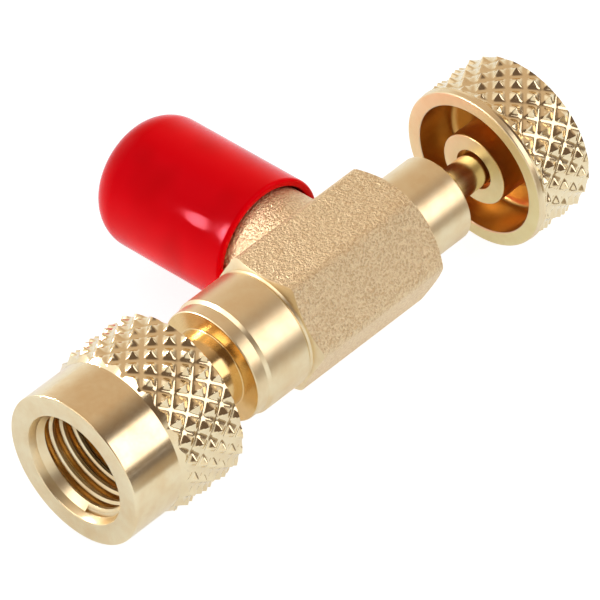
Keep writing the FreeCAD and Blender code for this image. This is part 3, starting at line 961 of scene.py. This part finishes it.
body = turned("Valve_body", [
    (body_low.x, 0.0, 0.0),
    (body_low.x, HEAD_RADIUS, 0.2),
    (HEAD_END, HEAD_RADIUS, 0.05),
    (HEAD_END, WAIST_RADIUS, 0.0),
    (WAIST_END, WAIST_RADIUS, 0.0),
    (NECK_START, NECK_RADIUS, 0.05),
    (COLLAR_START, NECK_RADIUS, 0.16),
    (COLLAR_START, COLLAR_RING_RADIUS, 0.14),
    (COLLAR_STEP, COLLAR_RING_RADIUS, 0.05),
    (COLLAR_STEP + COLLAR_STEP_TAPER, COLLAR_RADIUS, 0.08),
    (HEX_START - RELIEF_LENGTH, COLLAR_RADIUS, 0.06),
    (HEX_START - RELIEF_BOTTOM, COLLAR_RADIUS - RELIEF_DEPTH, 0.05),
    (HEX_START + OVERLAP, COLLAR_RADIUS - OVERLAP, 0.0),
    (branch_x, COLLAR_RADIUS - OVERLAP, 0.0),
    (branch_x, TAIL_RADIUS, 0.0),
    (body_high.x, TAIL_RADIUS, 0.14),
    (body_high.x, 0.0, 0.0),
])
combine(body, hexagon, "UNION")
print("body points:", len(body.data.vertices))

# %% [markdown]
# The branch ends in the port that a charging hose screws onto. It has the standard flare form: a thread
# and a cone that the hose seals on. It only shows when the cap is off.

# %% Add the branch with its threaded port
BRANCH_RADIUS = 5.6
BRANCH_END = 8.6
PORT_NECK_RADIUS = 4.85
PORT_NECK_END = 9.1
PORT_RADIUS = 5.555
PORT_START = 9.8
PORT_END = 17.9
CONE_START = 18.6
CONE_RADIUS = 4.855
CONE_TIP_RADIUS = 3.2
PORT_THREAD_TURNS = 7.9
PORT_THREAD_LEAD = 0.35
PORT_THREAD_MOUTH = 5.74
PORT_THREAD_WIDTH = 1.16
PORT_ROOT_RADIUS = 4.9

branch = turned("Branch", [
    (0.0, 0.0, 0.0),
    (0.0, BRANCH_RADIUS, 0.0),
    (BRANCH_END, BRANCH_RADIUS, 0.2),
    (BRANCH_END, PORT_NECK_RADIUS, 0.0),
    (PORT_NECK_END, PORT_NECK_RADIUS, 0.0),
    (PORT_START, PORT_RADIUS, 0.05),
    (PORT_END, PORT_RADIUS, 0.05),
    (CONE_START, CONE_RADIUS, 0.05),
    (body_high.y, CONE_TIP_RADIUS, 0.1),
    (body_high.y, 0.0, 0.0),
], along="Y", foot=branch_x)
groove = thread_groove("Port_thread", PORT_THREAD_TURNS, BRANCH_END + PORT_THREAD_LEAD,
                       (PORT_THREAD_MOUTH, PORT_THREAD_WIDTH), (PORT_ROOT_RADIUS, THREAD_ROOT_WIDTH),
                       satin_brass)
groove.data.transform(Matrix.Translation((branch_x, 0.0, 0.0)) @ Matrix.Rotation(math.pi / 2, 4, "Z"))
combine(branch, groove, "DIFFERENCE")
combine(body, branch, "UNION")
print("body points with the branch:", len(body.data.vertices))

# %% [markdown]
# Two ways are bored last. The long one holds the gasket at the nut's end, then the spindle and its seal.
# The short one leads from it to the port.

# %% Bore the ways
SEAT_RADIUS = 3.54
SEAT_END = 7.695
WAY_RADIUS = 2.55
WAY_END = 38.2
GLAND_RADIUS = 2.14
GLAND_WALL = 1.0
STEM_WAY_RADIUS = 1.78
PORT_WAY_RADIUS = 2.2

ways = turned("Ways", [
    (body_low.x - BEYOND, 0.0, 0.0),
    (body_low.x - BEYOND, SEAT_RADIUS, 0.0),
    (SEAT_END, SEAT_RADIUS, 0.0),
    (SEAT_END, WAY_RADIUS, 0.0),
    (WAY_END, WAY_RADIUS, 0.0),
    (WAY_END, GLAND_RADIUS, 0.0),
    (body_high.x - GLAND_WALL, GLAND_RADIUS, 0.0),
    (body_high.x - GLAND_WALL, STEM_WAY_RADIUS, 0.0),
    (body_high.x + BEYOND, STEM_WAY_RADIUS, 0.0),
    (body_high.x + BEYOND, 0.0, 0.0),
])
combine(body, ways, "DIFFERENCE")
port_way = turned("Port_way", [
    (0.0, 0.0, 0.0),
    (0.0, PORT_WAY_RADIUS, 0.0),
    (body_high.y + BEYOND, PORT_WAY_RADIUS, 0.0),
    (body_high.y + BEYOND, 0.0, 0.0),
], along="Y", foot=branch_x)
combine(body, port_way, "DIFFERENCE")
print("bored body points:", len(body.data.vertices))

# %% Finish the body
BRANCH_ROOT = 5.0
FLATS_RADIUS = 5.9
ALONG_AXIS = 0.2


def body_rule(middle, normal):
    """Blasted hexagon and branch, neck and collar end in darker brass as painted shade, satin elsewhere."""
    out = math.hypot(middle.y, middle.z)
    on_branch = (BRANCH_ROOT < middle.y < BRANCH_END
                 and math.hypot(middle.x - branch_x, middle.z) < BRANCH_RADIUS + EDGE)
    on_flats = HEX_START < middle.x < HEX_END and out > FLATS_RADIUS and abs(normal.x) < ALONG_AXIS
    if on_flats or on_branch:
        return 2
    if middle.x < COLLAR_START + 0.01:
        return 1
    return 0


give_finishes(body, [satin_brass, recess_shade_brass, blasted_brass], body_rule)
finished(body, "valve_body", "body")

# %% [markdown]
# ## Spindle
# The spindle is a thin polished stem with a pressing tip, a threaded part inside the body and a square end
# in the knob. Only the stem between the tail and the knob shows, so its thread stays a plain cylinder.

# %% Make the spindle
TIP_RADIUS = 1.1
TIP_LENGTH = 2.6
SHANK_RADIUS = 1.5
SHANK_END = 33.3
SPINDLE_THREAD_RADIUS = 2.5
SPINDLE_THREAD_START = 33.7
SPINDLE_THREAD_END = 38.0
STEM_RADIUS = 1.7
SQUARE_RADIUS = 1.25
HUB_HOLE_DEPTH = 0.75

spindle = turned("Spindle", [
    (spindle_low.x, 0.0, 0.0),
    (spindle_low.x, TIP_RADIUS, 0.2),
    (spindle_low.x + TIP_LENGTH, TIP_RADIUS, 0.0),
    (spindle_low.x + TIP_LENGTH, SHANK_RADIUS, 0.05),
    (SHANK_END, SHANK_RADIUS, 0.0),
    (SPINDLE_THREAD_START, SPINDLE_THREAD_RADIUS, 0.05),
    (SPINDLE_THREAD_END, SPINDLE_THREAD_RADIUS, 0.1),
    (SPINDLE_THREAD_END, STEM_RADIUS, 0.0),
    (knob_low.x + HUB_HOLE_DEPTH, STEM_RADIUS, 0.0),
    (knob_low.x + HUB_HOLE_DEPTH, SQUARE_RADIUS, 0.0),
    (spindle_high.x, SQUARE_RADIUS, 0.05),
    (spindle_high.x, 0.0, 0.0),
])
give_finishes(spindle, [front_brass])
finished(spindle, "spindle", "spindle_knob")

# %% [markdown]
# ## Knob
# The knob is a cup that is open towards the body, with a hub as high as its rim. It could be a drum with a
# cavity cut into it, but one ring-shaped section draws rim, cup, hub and bore in a single pass. It has the
# same knurl as the nut, which runs out just behind a plain rim.

# %% Turn and knurl the knob
KNOB_RIM_RADIUS = 8.13
KNOB_RIM_LENGTH = 0.55
KNOB_RUN_OUT = 0.82
KNOB_TIP_RADIUS = 8.3
KNOB_KNURL_TURN = -5.3
KNOB_BACK_CHAMFER = 0.5
CUP_RADIUS = 6.7
CUP_DEPTH = 4.5
CUP_CORNER = 0.8
HUB_RADIUS = 3.69
HUB_HOLE_RADIUS = 2.05
SOCKET_RADIUS = 1.8
SCREW_SEAT = 55.325
SCREW_RECESS_RADIUS = 2.1

rim_end = knob_low.x + KNOB_RIM_LENGTH
cut_full = rim_end + KNOB_RUN_OUT
knob = turned("Knob", [
    (knob_low.x, HUB_HOLE_RADIUS, 0.08),
    (knob_low.x, HUB_RADIUS, 0.14),
    (knob_low.x + CUP_DEPTH, HUB_RADIUS, CUP_CORNER),
    (knob_low.x + CUP_DEPTH, CUP_RADIUS, CUP_CORNER),
    (knob_low.x, CUP_RADIUS, 0.14),
    (knob_low.x, KNOB_RIM_RADIUS, 0.16),
    (rim_end, KNOB_RIM_RADIUS, 0.05),
    (cut_full, KNOB_TIP_RADIUS + BLANK_SPARE, 0.0),
    (knob_high.x - KNOB_BACK_CHAMFER, KNOB_TIP_RADIUS + BLANK_SPARE, 0.0),
    (knob_high.x, KNOB_TIP_RADIUS - KNOB_BACK_CHAMFER, 0.08),
    (knob_high.x, SCREW_RECESS_RADIUS, 0.12),
    (SCREW_SEAT, SCREW_RECESS_RADIUS, 0.0),
    (SCREW_SEAT, SOCKET_RADIUS, 0.0),
    (knob_low.x + HUB_HOLE_DEPTH, SOCKET_RADIUS, 0.0),
    (knob_low.x + HUB_HOLE_DEPTH, HUB_HOLE_RADIUS, 0.0),
])
skin = knurl_skin("Knob_knurl", first_row=cut_full - KNURL_ROW_STEP, lead=KNOB_RIM_LENGTH + BEYOND,
                  cut_start=rim_end, cut_full=cut_full, end=knob_high.x, tip_radius=KNOB_TIP_RADIUS,
                  first_turn=KNOB_KNURL_TURN)
combine(knob, skin, "INTERSECT")
print("knob points:", len(knob.data.vertices))

# %% Finish the knob
KNOB_KNURL_FLOOR = 7.6
FACE_DEPTH = 0.1
SOCKET_END = knob_high.x - 1.0
STRAIGHT_FRONT = -0.9


def knob_rule(middle, normal):
    """Dull rim and hub faces, cup in darker brass as painted shade, knurl behind the rim, satin elsewhere."""
    out = math.hypot(middle.y, middle.z)
    if normal.x < STRAIGHT_FRONT and middle.x < knob_low.x + FACE_DEPTH:
        return 3
    if out < CUP_RADIUS + 0.01 and knob_low.x + THIN_EDGE < middle.x < SOCKET_END:
        return 1
    if out > KNOB_KNURL_FLOOR and middle.x > rim_end + EDGE and normal.x < STRAIGHT_BACK:
        return 2
    return 0


give_finishes(knob, [satin_brass, bore_shade_brass, knurled_brass, dull_brass], knob_rule)
finished(knob, "knob", "spindle_knob")

# %% [markdown]
# ## Screw
# A small slotted screw in the knob's back holds the knob on the square end of the spindle. The slot is one
# plain block taken out of a turned head.

# %% Make the screw in the knob's back
SCREW_SIDES = 96
SCREW_SHANK_RADIUS = 0.95
SCREW_HEAD_RADIUS = 1.9
SLOT_WIDTH = 0.6
SLOT_DEPTH = 0.5

screw = turned("Knob_screw", [
    (screw_low.x, 0.0, 0.0),
    (screw_low.x, SCREW_SHANK_RADIUS, 0.1),
    (SCREW_SEAT, SCREW_SHANK_RADIUS, 0.0),
    (SCREW_SEAT, SCREW_HEAD_RADIUS, 0.05),
    (screw_high.x, SCREW_HEAD_RADIUS, 0.25),
    (screw_high.x, 0.0, 0.0),
], sides=SCREW_SIDES)
builder = bmesh.new()
bmesh.ops.create_cube(builder, size=1.0)
size = Matrix.Diagonal((2 * SLOT_DEPTH, SLOT_WIDTH, 4 * SCREW_HEAD_RADIUS, 1.0))
builder.transform(Matrix.Translation((screw_high.x, 0.0, 0.0)) @ size)
combine(screw, keep("Slot", builder), "DIFFERENCE")
give_finishes(screw, [satin_brass])
finished(screw, "knob_screw", "spindle_knob")

# %% [markdown]
# ## Dust cap
# The cap is dipped vinyl: soft and glossy, with a generous round end and a thin rounded lip. Dipping leaves
# the wall a little uneven, so slow waves bend its highlights and its red deepens in places. Waves in the
# mesh would do the same, but bump keeps the outline true. The round end needs more arc steps than the
# small edges elsewhere.

# %% Glossy vinyl
VINYL_RED = (0.80, 0.0, 0.004, 1.0)
VINYL_DEEP = (0.68, 0.0, 0.002, 1.0)
VINYL_SHINE = (1.0, 0.12, 0.20, 1.0)
VINYL_ROUGHNESS = 0.07
VINYL_REFLECTION = 0.12
DEEPENING_SIZE = 5.0
DEEPENING_EDGES = (0.4, 0.7)
WAVE_SIZE = 2.5
WAVE_HEIGHT = 0.008

vinyl, tree, shader = new_finish("Dipped vinyl")
place = millimetre_place(tree)
deepening = span(tree, noise(tree, place, DEEPENING_SIZE, detail=1.0), *DEEPENING_EDGES)
put(tree, shader.inputs["Base Color"], blend_colours(tree, deepening, VINYL_RED, VINYL_DEEP))
shader.inputs["Roughness"].default_value = VINYL_ROUGHNESS
shader.inputs["Specular IOR Level"].default_value = VINYL_REFLECTION
shader.inputs["Specular Tint"].default_value = VINYL_SHINE
relief(tree, shader, sums(tree, "MULTIPLY", noise(tree, place, WAVE_SIZE, detail=1.0), WAVE_HEIGHT / MM))
print("nodes in the vinyl:", len(tree.nodes))

# %% Make the dust cap
CAP_RADIUS = 6.55
CAP_INNER_RADIUS = 5.8
CAP_END_RADIUS = 3.3
CAP_INNER_END_RADIUS = CAP_END_RADIUS - 0.7
CAP_END_WALL = 0.95
CAP_ARC_STEPS = 14

cap = turned("Dust_cap", [
    (cap_high.y - CAP_END_WALL, 0.0, 0.0),
    (cap_high.y - CAP_END_WALL, CAP_INNER_RADIUS, CAP_INNER_END_RADIUS),
    (cap_low.y, CAP_INNER_RADIUS, 0.15),
    (cap_low.y, CAP_RADIUS, 0.35),
    (cap_high.y, CAP_RADIUS, CAP_END_RADIUS),
    (cap_high.y, 0.0, 0.0),
], along="Y", foot=branch_x, arc_steps=CAP_ARC_STEPS)
give_finishes(cap, [vinyl])
finished(cap, "dust_cap", "cap")

# %% [markdown]
# ## Hidden pieces
# The wire ring in the nut and the two seals are round wire and plain rings. Their CAD shapes are as good as
# new ones would be, so they stay, and only get their own finishes.

# %% Finish the hidden pieces
RUBBER = (0.020, 0.019, 0.018, 1.0)
RUBBER_BLOOM = (0.045, 0.042, 0.040, 1.0)
BLOOM_SIZE = 0.8
BLOOM_EDGES = (0.4, 0.8)
RUBBER_ROUGHNESS = 0.55

rubber, tree, shader = new_finish("Seal rubber")
bloom = span(tree, noise(tree, millimetre_place(tree), BLOOM_SIZE, detail=3.0), *BLOOM_EDGES)
put(tree, shader.inputs["Base Color"], blend_colours(tree, bloom, RUBBER, RUBBER_BLOOM))
shader.inputs["Roughness"].default_value = RUBBER_ROUGHNESS


def refinish(node, finish):
    """Gives a CAD node that stays in view its finish."""
    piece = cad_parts[node]
    piece.data.materials.clear()
    piece.data.materials.append(finish)
    print(node, "keeps its CAD shape with", finish.name)


refinish("nut_snap_ring", bore_shade_brass)
refinish("seat_gasket", rubber)
refinish("spindle_o_ring", rubber)
